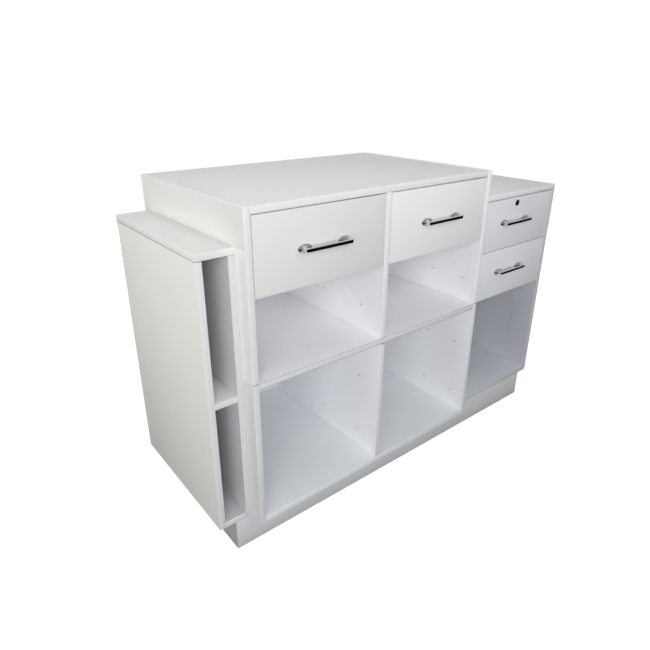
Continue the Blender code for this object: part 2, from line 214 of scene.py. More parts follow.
plinth_shaded_face = faced_board("pale_grey_melamine_painted_shade", ("dcdde0", "e1e2e5"), SATIN, BOARD_PEARL, "b4b2ae")
plinth_shaded_band = faced_board("plinth_lipping_painted_shade", ("c0bfbd", "c5c4c2"), SOFT_GLOSS,
                          PLINTH_LIPPING_PEARL, "b4b2ae")
plinth_end_shadowed = faced_board("grey_melamine_painted_shadow", ("b6b4b1", "bcbab7"), SATIN, BOARD_PEARL, "a4a29e")
for node, face in (("plinth_front", plinth_shaded_face), ("plinth_back", plinth_shaded_face),
                   ("plinth_left_end", plinth_end_shadowed), ("plinth_right_end", plinth_end_shadowed)):
    settle(cut_board(node, face, plinth_shaded_band), node + "_board", "carcass", "plinth_melamine", node)


# Main unit, lower and upper boxes: sides, bottom, mid rail, top, dividers and backs.
# White melamine-faced chipboard, 18 mm, edges lipped with 1 mm white ABS, joined on dowels.
# The sides and dividers are bored with 5 mm holes for shelf pins.
MAIN_PINS_UP = (0.082, 0.286)
MAIN_SIDE_PINS_BACK = (0.060, 0.189)
MAIN_DIVIDER_PINS_BACK = (0.090, 0.274)
PIN_HOLE_RADIUS = 0.0025
PIN_HOLE_DEPTH = 0.012
PIN_HOLE_SIDES = 24
JOINT_HEIGHT = 0.0016
TURNED_ENOUGH = 0.2
CHIP_SIZE = 0.0018
CHIP_DEPTH = 0.0004
GLOSS = (0.28, 0.34)
LIPPING_PEARL = 0.03
LINING_PEARL = 0.08

# Facings and linings are satin with a faint pearl, and the ABS lipping is smoother and glossier.
# They are one white in reality. Here each differs by a shade, as the soft light in the photograph gives
# each face
# its own tone: the darker ones are painted shade, the lighter and bluer ones painted light.
white_face = faced_board("white_melamine_board", ("f1f1f0", "f4f4f3"), SOFT_GLOSS, BOARD_PEARL)
# Painted shade: the worktop is drawn darker.
shaded_top_face = faced_board("worktop_melamine_painted_shade", ("edecec", "f0efef"), SOFT_GLOSS, BOARD_PEARL)
# Painted shade: the left sides' outer faces and the slabs of the wing and the drawer unit are drawn darker.
shaded_slab_face = faced_board("white_melamine_painted_shade", ("e4e4e2", "e7e7e5"), SATIN, BOARD_PEARL)
# Painted light: the strip of the left side ahead of the wing is drawn brighter.
lit_strip_face = faced_board("strip_melamine_painted_light", ("fcfbf9", "fdfdfb"), SOFT_GLOSS, BOARD_PEARL)
white_band = faced_board("white_abs_edge_lipping", ("f0f0f1", "f3f3f4"), GLOSS, LIPPING_PEARL)
# Painted light on the upper box's lipping; painted shade on the lower box's and the rail's; painted cool
# light on the floor's.
lit_upper_band = faced_board("upper_lipping_painted_light", ("f8f9fb", "fbfbfc"), GLOSS, LIPPING_PEARL)
shaded_low_band = faced_board("lower_lipping_painted_shade", ("eaebee", "eeeff1"), GLOSS, LIPPING_PEARL)
cool_lit_floor_band = faced_board("floor_lipping_painted_cool_light", ("f1f6fd", "f4f8fe"), GLOSS, LIPPING_PEARL)
shaded_rail_band = faced_board("rail_lipping_painted_shade", ("e4e6ea", "e8eaed"), GLOSS, LIPPING_PEARL)
# Painted light on the bays' linings, brighter and bluer; painted cool light on the walls; painted shade on
# the right sides and dividers facing left.
lit_upper_lining = faced_board("upper_lining_painted_light", ("f8fafd", "fbfcfe"), SATIN, LINING_PEARL)
cool_lit_lower_lining = faced_board("lower_lining_painted_cool_light", ("f4f7f9", "f7f9fb"), SATIN, LINING_PEARL)
cool_lit_wall_lining = faced_board("white_melamine_lining", ("f2f3f5", "f4f5f8"), SATIN, LINING_PEARL)
shaded_divider_lining = faced_board("divider_lining_painted_shade", ("ecedef", "eff0f2"), SATIN, LINING_PEARL)

# Dust in the open joints between boards, and the thin grey line of glue behind the lipping: matt. Their
# dark grey is partly painted shadow, the shade that falls in the joints and under the mid rail.
joint_dust_and_shadow = faced_board("joint_line_dust_and_painted_shadow", ("858689", "8e8f91"), (0.60, 0.70), LIPPING_PEARL)
glue_line_and_shade = faced_board("lipping_glue_painted_shade", ("a9aaac", "b0b1b3"), (0.50, 0.60), LIPPING_PEARL)

# Raw chipboard shows only inside the bored holes and slots: dusty resin-bound chips, matt.
raw_chipboard = blank_material("raw_chipboard_core")
chip_place = add(raw_chipboard, "ShaderNodeTexCoord").outputs["Object"]
chips = add(raw_chipboard, "ShaderNodeTexVoronoi", {"Vector": chip_place, "Scale": 1 / CHIP_SIZE})
chip_tint = add(raw_chipboard, "ShaderNodeValToRGB", {"Fac": chips.outputs["Distance"]})
chip_tint.color_ramp.elements[0].color = linear("5f564d")
chip_tint.color_ramp.elements[1].color = linear("948a7d")
chip_bump = add(raw_chipboard, "ShaderNodeBump",
                {"Height": chips.outputs["Distance"], "Strength": 0.5, "Distance": CHIP_DEPTH})
chip_shader = add(raw_chipboard, "ShaderNodeBsdfPrincipled",
                  {"Base Color": chip_tint.outputs["Color"], "Roughness": 0.85,
                   "Normal": chip_bump.outputs["Normal"]})
add(raw_chipboard, "ShaderNodeOutputMaterial", {"Surface": chip_shader.outputs["BSDF"]})


def cut_away(made, cutter, core):
    """Takes a cutter's shape out of a piece, shows the core there and throws the cutter away."""
    cutter.data.materials.append(core)
    pick(made)
    cut = made.modifiers.new("cut", "BOOLEAN")
    cut.operation = "DIFFERENCE"
    cut.solver = "EXACT"
    cut.material_mode = "TRANSFER"
    cut.object = cutter
    bpy.ops.object.modifier_apply(modifier=cut.name)
    bpy.data.objects.remove(cutter)


def rods(ends, places, radius, sides):
    """Rods along X between the two ends, at the (y, z) places, as one cutter."""
    bpy.ops.object.select_all(action="DESELECT")
    middle = (ends[0] + ends[1]) / 2
    made = []
    for y, z in places:
        bpy.ops.mesh.primitive_cylinder_add(vertices=sides, radius=radius, depth=ends[1] - ends[0],
                                            location=(middle, y, z), rotation=(0, pi / 2, 0))
        made.append(bpy.context.object)
    for rod in made:
        rod.select_set(True)
    bpy.ops.object.join()
    bpy.ops.object.transform_apply(location=True, rotation=True, scale=True)
    return bpy.context.object


def bore_pins(made, node, side, setbacks, heights, foot):
    """Bores shelf-pin holes into the left (-1) or right (1) side of an upright board, or through it (0)."""
    low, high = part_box(node)
    places = [(low.y + back, foot + up) for back in setbacks for up in heights]
    ends = {-1: (low.x - PIN_HOLE_DEPTH, low.x + PIN_HOLE_DEPTH),
            1: (high.x - PIN_HOLE_DEPTH, high.x + PIN_HOLE_DEPTH),
            0: (low.x - PIN_HOLE_DEPTH, high.x + PIN_HOLE_DEPTH)}[side]
    cut_away(made, rods(ends, places, PIN_HOLE_RADIUS, PIN_HOLE_SIDES), raw_chipboard)


def score(place, way):
    """Scores the faces of the active piece along a plane, so that its two sides can differ."""
    bpy.ops.object.mode_set(mode="EDIT")
    bpy.ops.mesh.select_all(action="SELECT")
    bpy.ops.mesh.bisect(plane_co=place, plane_no=way)
    bpy.ops.object.mode_set(mode="OBJECT")


def mark_joint(made, way, foot, head, line):
    """Greys the faces and arrises turned some way between two heights: dust or glue, and painted shadow in
    the joint.
    """
    greyed = coat(made, line)
    for polygon in made.data.polygons:
        if polygon.normal.dot(Vector(way)) > TURNED_ENOUGH and foot < polygon.center.z < head:
            polygon.material_index = greyed


left, right, front, up, down = (-1, 0, 0), (1, 0, 0), (0, -1, 0), (0, 0, 1), (0, 0, -1)
walls = {"left_side": [(right, cool_lit_wall_lining), (left, shaded_slab_face)],
         "right_side": [(left, shaded_divider_lining)],
         "back": [(front, cool_lit_wall_lining)],
         "divider": [(left, cool_lit_wall_lining), (right, cool_lit_wall_lining)]}
lower_boards = {**walls, "bottom": [(up, cool_lit_lower_lining)], "top": [(down, cool_lit_lower_lining), (up, lit_upper_lining)]}
upper_boards = {**walls, "divider": [(left, shaded_divider_lining), (right, cool_lit_wall_lining)],
                "top": [(down, lit_upper_lining), (up, shaded_top_face)]}
own_bands = {"main_lower_bottom": cool_lit_floor_band, "main_lower_top": shaded_rail_band}
main_bores = {"left_side": (1, MAIN_SIDE_PINS_BACK), "right_side": (-1, MAIN_SIDE_PINS_BACK),
              "divider": (0, MAIN_DIVIDER_PINS_BACK)}
for case, foot, band, boards in (
        ("main_lower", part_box("main_lower_bottom")[0].z, shaded_low_band, lower_boards),
        ("main_upper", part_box("main_lower_top")[1].z, lit_upper_band, upper_boards)):
    for part, linings in boards.items():
        node = f"{case}_{part}"
        made = cut_board(node, white_face, own_bands.get(node, band), linings)
        low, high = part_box(node)
        if node == "main_upper_left_side":
            # The strip ahead of the wing, which is bright in the photograph, has the brightest facing:
            # painted light.
            wing_corner = Vector((0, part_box("wing_top")[0].y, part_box("wing_top")[1].z))
            for way in ((0, 1, 0), up):
                score(wing_corner, way)
            strip = coat(made, lit_strip_face)
            for polygon in made.data.polygons:
                ahead = polygon.center.y < wing_corner.y and polygon.center.z < wing_corner.z
                if ahead and looks_to(polygon, left):
                    polygon.material_index = strip
        if node == "main_lower_top":
            # The dark lines under the rail, along its top arris and along the box edges are partly painted
            # shadow of the joints.
            score((0, 0, low.z + JOINT_HEIGHT), up)
            mark_joint(made, front, low.z, low.z + JOINT_HEIGHT, joint_dust_and_shadow)
            mark_joint(made, front, high.z - EASED_EDGE, high.z, glue_line_and_shade)
        elif case == "main_lower" and part != "bottom":
            mark_joint(made, front, high.z - EASED_EDGE, high.z, joint_dust_and_shadow)
        elif case == "main_upper" and part != "top":
            mark_joint(made, front, low.z, low.z + EASED_EDGE, joint_dust_and_shadow)
        if part in main_bores:
            side, setbacks = main_bores[part]
            bore_pins(made, node, side, setbacks, MAIN_PINS_UP, foot)
        settle(made, node + "_board", "carcass", "white_melamine", node)


# Wing: a narrow upright case on the left, open to the staff in two slots, one over the other.
# The same white board as the main unit; the slab lies on the two sides, the shelf is fixed.
MATT = (0.40, 0.50)

# The slots are deep and narrow, so their linings, the lower slot's floor and the right side's lipping are
# drawn in greys:
# painted shade. The left side's outer face is drawn a warm white: painted warm light from the left.
shaded_slot_lining = faced_board("slot_lining_painted_shade", ("cbcbcd", "d0d0d2"), MATT, LINING_PEARL)
shaded_ledge_lining = faced_board("ledge_lining_painted_shade", ("d8d9dc", "dcdde0"), MATT, LINING_PEARL)
shaded_wing_band = faced_board("wing_lipping_painted_shade", ("dcdddf", "e0e1e3"), GLOSS, LIPPING_PEARL)
warm_lit_end_face = faced_board("end_face_painted_warm_light", ("edede9", "f0f0ec"), SOFT_GLOSS, BOARD_PEARL)
wing_faces = {"left_side": warm_lit_end_face, "top": shaded_slab_face}
for part, inside, lining, band in (
        ("left_side", right, shaded_slot_lining, white_band), ("right_side", left, shaded_slot_lining, shaded_wing_band),
        ("bottom", up, shaded_ledge_lining, shaded_low_band), ("back", front, shaded_slot_lining, white_band),
        ("shelf", down, shaded_slot_lining, shaded_low_band), ("top", down, shaded_slot_lining, white_band)):
    node = "wing_" + part
    made = cut_board(node, wing_faces.get(part, white_face), band, [(inside, lining)])
    low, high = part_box(node)
    # The grey line where the slab sits on the left side is partly painted shadow of the joint.
    slab_joint = {"top": (low.z, low.z + EASED_EDGE), "left_side": (high.z - EASED_EDGE, high.z)}
    if part in slab_joint:
        for way in (left, front):
            mark_joint(made, way, *slab_joint[part], glue_line_and_shade)
    settle(made, node + "_board", "carcass", "white_melamine", node)


# Drawer unit: a lower case on the right with two drawers over one open compartment.
# Same white board. Its sides have a row of shelf-pin holes at 32 mm, and the slab has a slot
# on its underside that the lock's cam turns up into.
UNIT_PINS_BACK = (0.091, 0.380)
UNIT_FIRST_PIN = 0.157
UNIT_PIN_PITCH = 0.032
UNIT_PIN_COUNT = 5
CAM_LENGTH = 0.032
CAM_WIDTH = 0.012
CAM_THICKNESS = 0.002
CAM_SLOT_ROOM = 0.0015
CUTTER_PAST = 0.01

# The compartment under the drawers lies in shade, so its linings and edges are drawn in pale greys.
shaded_unit_lining = faced_board("unit_lining_painted_shade", ("bcbfc5", "c1c4ca"), MATT, LINING_PEARL)
cool_shaded_unit_floor = faced_board("unit_floor_painted_cool_shade", ("e4eaf0", "e7edf3"), MATT, LINING_PEARL)
shaded_unit_band = faced_board("unit_lipping_painted_shade", ("cdced0", "d2d3d5"), GLOSS, LIPPING_PEARL)
unit_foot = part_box("drawer_unit_bottom")[0].z
unit_pins_up = [UNIT_FIRST_PIN + step * UNIT_PIN_PITCH for step in range(UNIT_PIN_COUNT)]
unit_bores = {"left_side": 1, "right_side": -1}
for part, inside, lining, face, band in (
        ("left_side", right, shaded_unit_lining, white_face, shaded_unit_band),
        ("right_side", left, shaded_unit_lining, white_face, shaded_unit_band),
        ("bottom", up, cool_shaded_unit_floor, white_face, shaded_unit_band),
        ("back", front, shaded_unit_lining, white_face, shaded_unit_band),
        ("top", down, shaded_unit_lining, shaded_slab_face, white_band)):
    node = "drawer_unit_" + part
    made = cut_board(node, face, band, [(inside, lining)])
    if part in unit_bores:
        bore_pins(made, node, unit_bores[part], UNIT_PINS_BACK, unit_pins_up, unit_foot)
    if part == "top":
        cam_low, cam_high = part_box("lock_plug")
        axis_x, axis_z = cam_high.x - CAM_LENGTH, (cam_low.z + cam_high.z) / 2
        slab_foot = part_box(node)[0].z
        reach = (CAM_LENGTH ** 2 + (CAM_WIDTH / 2) ** 2) ** 0.5
        swing = (reach ** 2 - (slab_foot - axis_z) ** 2) ** 0.5
        slot_low = Vector((axis_x - CAM_WIDTH / 2 - CAM_SLOT_ROOM,
                           cam_high.y - CAM_THICKNESS - CAM_SLOT_ROOM, slab_foot - CUTTER_PAST))
        slot_high = Vector((axis_x + swing + CAM_SLOT_ROOM, cam_high.y + CAM_SLOT_ROOM,
                            axis_z + reach + CAM_SLOT_ROOM))
        cut_away(made, block(slot_low, slot_high), raw_chipboard)
    settle(made, node + "_board", "carcass", "white_melamine", node)


# Drawer slides: a runner on each cabinet side and a rail on each drawer side.
# Cold-rolled steel strip, 1.2 mm, folded to a channel and bright zinc plated, held by pan screws.
STRIP = 0.0012
FOLD = 0.0005
ROUNDING_STEPS = 2
SCREW_RADIUS = 0.0035
SCREW_HEAD = 0.0017
SCREW_SETBACKS = (0.035, 0.195, 0.355)
SCREW_SIDES = 24
HEAD_ROUNDING_SHARE = 0.45
HEAD_STEPS = 3
CROSS_LENGTH_SHARE = 1.1
CROSS_WIDTH_SHARE = 0.22
ZINC_STREAK = 0.004
STREAK_STRETCH = (1.0, 0.06, 1.0)

# Bright zinc on rolled strip: cool grey metal with faint streaks along the rolling direction.
zinc_steel = blank_material("zinc_plated_steel_strip")
zinc_place = add(zinc_steel, "ShaderNodeTexCoord").outputs["Object"]
along_strip = add(zinc_steel, "ShaderNodeMapping", {"Vector": zinc_place, "Scale": STREAK_STRETCH})
streaks = add(zinc_steel, "ShaderNodeTexNoise",
              {"Vector": along_strip.outputs["Vector"], "Scale": 1 / ZINC_STREAK, "Detail": 4.0})
zinc_tint = add(zinc_steel, "ShaderNodeValToRGB", {"Fac": streaks.outputs["Fac"]})
zinc_tint.color_ramp.elements[0].color = linear("b3b7bd")
zinc_tint.color_ramp.elements[1].color = linear("d6d9dd")
zinc_gloss = add(zinc_steel, "ShaderNodeMapRange",
                 {"Value": streaks.outputs["Fac"], "From Min": NOISE_SPAN[0], "From Max": NOISE_SPAN[1],
                  "To Min": 0.28, "To Max": 0.42})
zinc_shader = add(zinc_steel, "ShaderNodeBsdfPrincipled",
                  {"Base Color": zinc_tint.outputs["Color"], "Metallic": 1.0,
                   "Roughness": zinc_gloss.outputs["Result"]})
add(zinc_steel, "ShaderNodeOutputMaterial", {"Surface": zinc_shader.outputs["BSDF"]})


def pick_faces(made, wanted):
    """Goes into edit mode on the active piece, with only its wanted faces selected."""
    bpy.ops.object.mode_set(mode="EDIT")
    bpy.ops.mesh.select_mode(type="FACE")
    bpy.ops.mesh.select_all(action="DESELECT")
    bpy.ops.object.mode_set(mode="OBJECT")
    for polygon in made.data.polygons:
        polygon.select = wanted(polygon)
    bpy.ops.object.mode_set(mode="EDIT")


def folded(node, open_ways, wall, rounding):
    """A folded shell in a CAD node's place: a block opened some ways, given its wall inwards."""
    made = block(*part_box(node))
    pick_faces(made, lambda polygon: any(looks_to(polygon, way) for way in open_ways))
    bpy.ops.mesh.delete(type="FACE")
    bpy.ops.object.mode_set(mode="OBJECT")
    shell = made.modifiers.new("wall", "SOLIDIFY")
    shell.thickness = wall
    shell.offset = -1.0
    shell.use_even_offset = True
    soft = made.modifiers.new("rounding", "BEVEL")
    soft.width = rounding
    soft.segments = ROUNDING_STEPS
    soft.limit_method = "ANGLE"
    soft.angle_limit = SMOOTH_BELOW
    pick(made)
    for modifier in (shell, soft):
        bpy.ops.object.modifier_apply(modifier=modifier.name)
    return made


def pan_head(radius, height):
    """A pan screw head with a cross slot, standing on the origin and looking up."""
    bpy.ops.object.select_all(action="DESELECT")
    bpy.ops.mesh.primitive_cylinder_add(vertices=SCREW_SIDES, radius=radius, depth=height,
                                        location=(0, 0, height / 2))
    made = bpy.context.object
    bpy.ops.object.transform_apply(location=True, rotation=True, scale=True)
    made.data.materials.append(zinc_steel)
    pick_faces(made, lambda polygon: looks_to(polygon, up))
    bpy.ops.mesh.bevel(offset=height * HEAD_ROUNDING_SHARE, segments=HEAD_STEPS, affect="EDGES")
    bpy.ops.object.mode_set(mode="OBJECT")
    crown = Vector((0, 0, height))
    half = Vector((radius * CROSS_LENGTH_SHARE, radius * CROSS_WIDTH_SHARE, height)) / 2
    for arm in (half, half.yxz):
        cut_away(made, block(crown - arm, crown + arm), zinc_steel)
    return made


def set_copy(pattern, place, turn=(0, 0, 0)):
    """A copy of a piece, with a mesh of its own, turned and set in its place."""
    pick(pattern)
    bpy.ops.object.duplicate()
    made = bpy.context.object
    made.rotation_euler = turn
    made.location = place
    bpy.ops.object.transform_apply(location=True, rotation=True, scale=True)
    return made


def drive(screw, seat, way):
    """A copy of a screw head, driven home on its seat and looking some way."""
    return set_copy(screw, seat, Vector(way).to_track_quat("Z", "Y").to_euler())


def join_pieces(main, others):
    """Joins other pieces into the first one."""
    pick(main)
    for other in others:
        other.select_set(True)
    bpy.ops.object.join()
    return main


def both_drawers(made, nodes):
    """A piece of a unit's first drawer and its copy for the second one, which is made alike."""
    return made, set_copy(made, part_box(nodes[1])[0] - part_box(nodes[0])[0])


def channel(node, mouth):
    """A slide's channel in a CAD node's place, its mouth towards +X or -X, with its fixing screws."""
    low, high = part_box(node)
    made = folded(node, ((mouth, 0, 0), (0, 1, 0), front), STRIP, FOLD)
    made.data.materials.append(zinc_steel)
    web = (low.x if mouth > 0 else high.x) + mouth * STRIP
    middle = (low.z + high.z) / 2
    screws = [drive(slide_screw, (web, low.y + back, middle), (mouth, 0, 0)) for back in SCREW_SETBACKS]
    return join_pieces(made, screws)


slide_screw = pan_head(SCREW_RADIUS, SCREW_HEAD)
drawer_pairs = (("main_left_drawer", "main_right_drawer"), ("upper_drawer", "lower_drawer"))
for pair in drawer_pairs:
    for side, inward in (("left", 1), ("right", -1)):
        for member, mouth, bodies in (("runner", inward, ("carcass", "carcass")), ("rail", -inward, pair)):
            nodes = [f"{drawer}_{side}_{member}" for drawer in pair]
            channels = both_drawers(channel(nodes[0], mouth), nodes)
            for made, node, body in zip(channels, nodes, bodies):
                settle(made, node + "_strip", body, "zinc_steel", node)
bpy.data.objects.remove(slide_screw)


# Drawer boxes and fronts: a front of white board, a wrap folded from 15 mm foiled board into two
# sides and a back, and a thin white bottom. Cam fittings in the sides draw the front up tight.
WRAP_WALL = 0.015
WRAP_EDGE = 0.0007
CAM_FITTING_RADIUS = 0.0075
CAM_FITTING_PROUD = 0.0006
CAM_FITTING_SETBACK = 0.034
CAM_FITTING_HEIGHT_SHARES = (0.25, 0.75)
HALF_TURNED = 0.5

# Foil is a printed paper skin, thinner than melamine: duller, and with hardly any grain.
white_foil = faced_board("white_foil_drawer_board", ("ececeb", "f0f0ef"), (0.42, 0.52), 0.06)
foil_edge = faced_board("white_foil_drawer_edge", ("eeeeed", "f2f2f1"), (0.36, 0.46), LIPPING_PEARL)
# Painted light: the main right drawer's front is drawn brighter. Painted shade: the drawer unit's fronts
# are drawn darker and bluer.
lit_right_front = faced_board("right_front_painted_light", ("f6f6f5", "f9f9f8"), SOFT_GLOSS, BOARD_PEARL)
cool_shaded_unit_front = faced_board("unit_front_painted_cool_shade", ("e9ebef", "eceef2"), SOFT_GLOSS, BOARD_PEARL)


def drawer_wrap(node):
    """A drawer's folded wrap in a CAD node's place, with the cam fittings that hold the front."""
    low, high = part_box(node)
    made = folded(node, (up, down, front), WRAP_WALL, WRAP_EDGE)
    skin, edge = coat(made, white_foil), coat(made, foil_edge)
    for polygon in made.data.polygons:
        on_edge = abs(polygon.normal.z) > HALF_TURNED or polygon.normal.y < -HALF_TURNED
        polygon.material_index = edge if on_edge else skin
    fittings = []
    for inner, way in ((low.x + WRAP_WALL, right), (high.x - WRAP_WALL, left)):
        for share in CAM_FITTING_HEIGHT_SHARES:
            seat = (inner, low.y + CAM_FITTING_SETBACK, low.z + (high.z - low.z) * share)
            fittings.append(drive(cam_fitting, seat, way))
    return join_pieces(made, fittings)


cam_fitting = pan_head(CAM_FITTING_RADIUS, CAM_FITTING_PROUD)
for pair in drawer_pairs:
    nodes = [drawer + "_wrap" for drawer in pair]
    for made, node, drawer in zip(both_drawers(drawer_wrap(nodes[0]), nodes), nodes, pair):
        settle(made, node + "_box", drawer, "drawer_white", node)
bpy.data.objects.remove(cam_fitting)

# The fronts are settled further on, once the lock's bore is cut.
fronts = {}
for drawer, front_face in (("main_left_drawer", white_face), ("main_right_drawer", lit_right_front),
                           ("upper_drawer", cool_shaded_unit_front), ("lower_drawer", cool_shaded_unit_front)):
    node = drawer + "_bottom"
    settle(cut_board(node, white_foil, foil_edge), node + "_panel", drawer, "drawer_white", node)
    fronts[drawer] = cut_board(drawer + "_front", front_face, white_band)


# Bow handles: one on each drawer front, 128 mm between screw centres and 150 mm along the bar.
# Zinc alloy, die-cast in one piece with flared oval feet, polished and chrome plated, held by two
# machine screws from inside the drawer.
HANDLE_CENTRES = 0.128
HANDLE_LENGTH = 0.150
HANDLE_PROUD = 0.026
BAR_DEPTH = 0.008
BAR_HEIGHT = 0.0095
BAR_ROUNDING = 0.0012
BAR_ROUNDING_STEPS = 4
BAR_CUTS = 5
FOOT_WIDTH = 0.042
FOOT_HEIGHT = 0.022
FOOT_EDGE = 0.0015
FOOT_POINTS = 40
THROAT = (0.0095, 0.0105)
THROAT_LENGTH = 0.0025
THROAT_CUTS = 3
BEND = 0.0055
BEND_STEPS = 12
CORNER_POWER = 4
FLARE_STEPS = 12
CAP_SIDES = 8
TOUCHING = 0.00001
MIRROR_TOUCHING = 0.00005
HANDLE_SCREW_RADIUS = 0.004
HANDLE_SCREW_HEAD = 0.0022
BUFF_SIZE = 0.010


def chrome_plate(name, brightest, dullest):
    """Chrome plate: a neutral mirror, with the faint softness that buffing leaves here and there."""
    material = blank_material(name)
    place = add(material, "ShaderNodeTexCoord").outputs["Object"]
    buffing = add(material, "ShaderNodeTexNoise", {"Vector": place, "Scale": 1 / BUFF_SIZE, "Detail": 3.0})
    gloss = add(material, "ShaderNodeMapRange",
                {"Value": buffing.outputs["Fac"], "From Min": NOISE_SPAN[0], "From Max": NOISE_SPAN[1],
                 "To Min": brightest, "To Max": dullest})
    tint = add(material, "ShaderNodeValToRGB", {"Fac": buffing.outputs["Fac"]})
    tint.color_ramp.elements[0].color = linear("dcdee0")
    tint.color_ramp.elements[1].color = linear("e6e8ea")
    shader = add(material, "ShaderNodeBsdfPrincipled",
                 {"Base Color": tint.outputs["Color"], "Metallic": 1.0,
                  "Roughness": gloss.outputs["Result"]})
    add(material, "ShaderNodeOutputMaterial", {"Surface": shader.outputs["BSDF"]})
    return material


# Polished chrome on the bar, and chrome over the feet as they left the die, with a softer shine.
chrome = chrome_plate("polished_chrome_plate", 0.05, 0.10)
soft_chrome = chrome_plate("satin_chrome_plate", 0.28, 0.36)


def pick_edges(made, wanted):
    """Goes into edit mode on the active piece, with only the edges selected whose ends are wanted."""
    bpy.ops.object.mode_set(mode="EDIT")
    bpy.ops.mesh.select_mode(type="EDGE")
    bpy.ops.mesh.select_all(action="DESELECT")
    bpy.ops.object.mode_set(mode="OBJECT")
    for edge in made.data.edges:
        edge.select = wanted(*(made.data.vertices[end].co for end in edge.vertices))
    bpy.ops.object.mode_set(mode="EDIT")


def half_bar(bar, arm, neck):
    """Half of the bar, drawn out from the middle and turned back round a tight corner."""
    bpy.ops.object.select_all(action="DESELECT")
    bpy.ops.mesh.primitive_plane_add(size=1.0, location=(0, bar, 0), rotation=(0, pi / 2, 0))
    made = bpy.context.object
    made.scale = (BAR_HEIGHT, BAR_DEPTH, 1)
    bpy.ops.object.transform_apply(location=True, rotation=True, scale=True)
    bpy.ops.object.mode_set(mode="EDIT")
    bpy.ops.mesh.select_mode(type="VERT")
    bpy.ops.mesh.select_all(action="SELECT")
    bpy.ops.mesh.bevel(offset=BAR_ROUNDING, segments=BAR_ROUNDING_STEPS, affect="VERTICES")
    pick_edges(made, lambda a, b: (a - b).length > 2 * BAR_ROUNDING)
    bpy.ops.mesh.subdivide(number_cuts=BAR_CUTS)
    bpy.ops.mesh.select_mode(type="FACE")
    bpy.ops.mesh.select_all(action="SELECT")
    bpy.ops.mesh.extrude_region_move(TRANSFORM_OT_translate={"value": (arm - BEND, 0, 0)})
    pivot = (arm - BEND, neck, 0)
    turn = pi / 2 / BEND_STEPS
    reach = [(cos(step * turn) ** CORNER_POWER + sin(step * turn) ** CORNER_POWER) ** (-1 / CORNER_POWER)
             for step in range(BEND_STEPS + 1)]
    for step in range(BEND_STEPS):
        stretch = reach[step + 1] / reach[step]
        bpy.ops.mesh.extrude_region_move(TRANSFORM_OT_translate={"value": (0, 0, 0)})
        bpy.ops.transform.rotate(value=-turn, orient_axis="Z", center_override=pivot)
        bpy.ops.transform.resize(value=(stretch, stretch, 1), center_override=pivot)
    bpy.ops.object.mode_set(mode="OBJECT")
    return made


def flared_foot(arm, neck):
    """One foot, drawn up from an oval on the drawer front to the throat below the bar's bend."""
    bpy.ops.object.select_all(action="DESELECT")
    bpy.ops.mesh.primitive_circle_add(vertices=FOOT_POINTS, radius=0.5, fill_type="NGON",
                                      location=(HANDLE_CENTRES / 2, 0, 0), rotation=(pi / 2, 0, 0))
    made = bpy.context.object
    made.scale = (FOOT_WIDTH, FOOT_HEIGHT, 1)
    bpy.ops.object.transform_apply(location=True, rotation=True, scale=True)
    bpy.ops.object.mode_set(mode="EDIT")
    bpy.ops.mesh.select_all(action="SELECT")
    bpy.ops.mesh.extrude_region_move(TRANSFORM_OT_translate={"value": (0, -FOOT_EDGE, 0)})
    rise = (neck + THROAT_LENGTH + FOOT_EDGE) / FLARE_STEPS
    slim = [1 - (1 - step / FLARE_STEPS) ** 2 for step in range(FLARE_STEPS + 1)]
    places = [HANDLE_CENTRES / 2 + (arm - HANDLE_CENTRES / 2) * share for share in slim]
    widths = [FOOT_WIDTH + (THROAT[0] - FOOT_WIDTH) * share for share in slim]
    heights = [FOOT_HEIGHT + (THROAT[1] - FOOT_HEIGHT) * share for share in slim]
    for step in range(FLARE_STEPS):
        shift = places[step + 1] - places[step]
        narrowed = (widths[step + 1] / widths[step], 1, heights[step + 1] / heights[step])
        bpy.ops.mesh.extrude_region_move(TRANSFORM_OT_translate={"value": (shift, rise, 0)})
        bpy.ops.transform.resize(value=narrowed, center_override=(places[step + 1], 0, 0))
    bpy.ops.object.mode_set(mode="OBJECT")
    return made


def bow_handle():
    """A bow on the plane y = 0, its middle at the origin: half a bar and a foot, bridged and mirrored."""
    bar = BAR_DEPTH / 2 - HANDLE_PROUD
    arm = (HANDLE_LENGTH - BAR_DEPTH) / 2
    neck = bar + BEND
    made = join_pieces(half_bar(bar, arm, neck), [flared_foot(arm, neck)])
    bpy.ops.object.mode_set(mode="EDIT")
    bpy.ops.mesh.select_all(action="SELECT")
    bpy.ops.mesh.remove_doubles(threshold=TOUCHING)
    bpy.ops.mesh.normals_make_consistent(inside=False)
    # Only the end caps have many sides. The one in the middle goes, the two at the throat are bridged.
    pick_faces(made, lambda polygon: len(polygon.vertices) > CAP_SIDES and polygon.center.x < TOUCHING)
    bpy.ops.mesh.delete(type="FACE")
    pick_faces(made, lambda polygon: len(polygon.vertices) > CAP_SIDES and polygon.center.y < -FOOT_EDGE)
    bpy.ops.mesh.bridge_edge_loops(number_cuts=THROAT_CUTS)
    bpy.ops.object.mode_set(mode="OBJECT")
    half = made.modifiers.new("other_half", "MIRROR")
    half.merge_threshold = MIRROR_TOUCHING
    pick(made)
    bpy.ops.object.modifier_apply(modifier=half.name)
    bpy.ops.object.mode_set(mode="EDIT")
    bpy.ops.mesh.select_all(action="SELECT")
    bpy.ops.mesh.normals_make_consistent(inside=False)
    bpy.ops.object.mode_set(mode="OBJECT")
    polished, cast = coat(made, chrome), coat(made, soft_chrome)
    for polygon in made.data.polygons:
        polygon.material_index = cast if polygon.center.y > neck else polished
    return made


